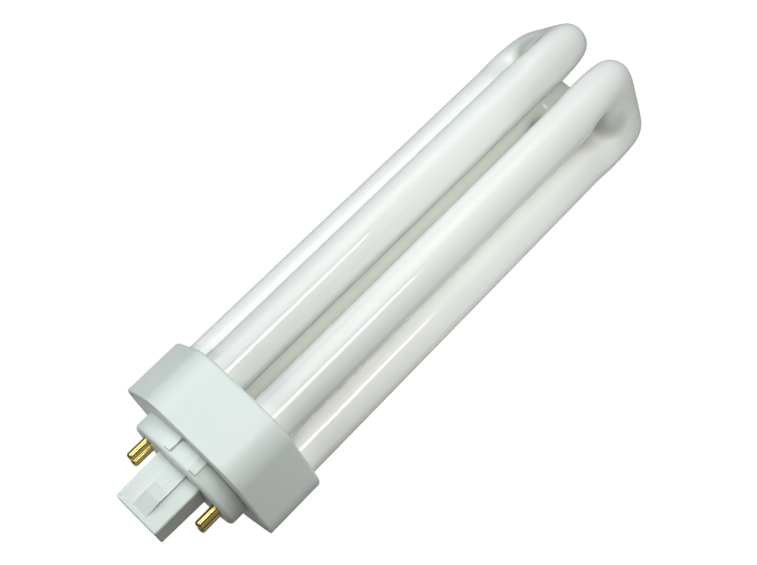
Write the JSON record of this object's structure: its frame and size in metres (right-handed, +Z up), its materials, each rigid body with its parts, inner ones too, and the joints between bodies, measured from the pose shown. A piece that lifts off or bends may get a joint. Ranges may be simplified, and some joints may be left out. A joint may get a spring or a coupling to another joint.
{
  "type": "energy saving bulb",
  "caption": "Plug-in compact fluorescent lamp: a folded milky glass tube with pinched U-bends in a white moulded collar, on a plug base with a key post and brass contact pins.",
  "frame": {"origin": "on the lamp's axis, at the face of the base's disc where the contact pins come out", "axes": "+X along the lamp's axis from the plug to the tips of the tube, +Z up as the lamp lies on a flat side of its collar"},
  "size_m": [0.1623, 0.048, 0.0442],
  "materials": {
    "milky_glass": "glossy glass, milky with its inner coating",
    "white_plastic": "satin moulded plastic",
    "cement": "matte cement",
    "pin_brass": "drawn brass",
    "nickel_wire": "nickel-plated wire"
  },
  "bodies": {
    "root": {"discharge_tube": "milky_glass", "collar": "white_plastic", "tube_cement": "cement", "base_cap": "white_plastic", "contact_pin_1": "pin_brass", "contact_pin_2": "pin_brass", "contact_pin_3": "pin_brass", "contact_pin_4": "pin_brass", "lead_wire_1": "nickel_wire", "lead_wire_2": "nickel_wire", "lead_wire_3": "nickel_wire", "lead_wire_4": "nickel_wire"}
  },
  "joints": []
}
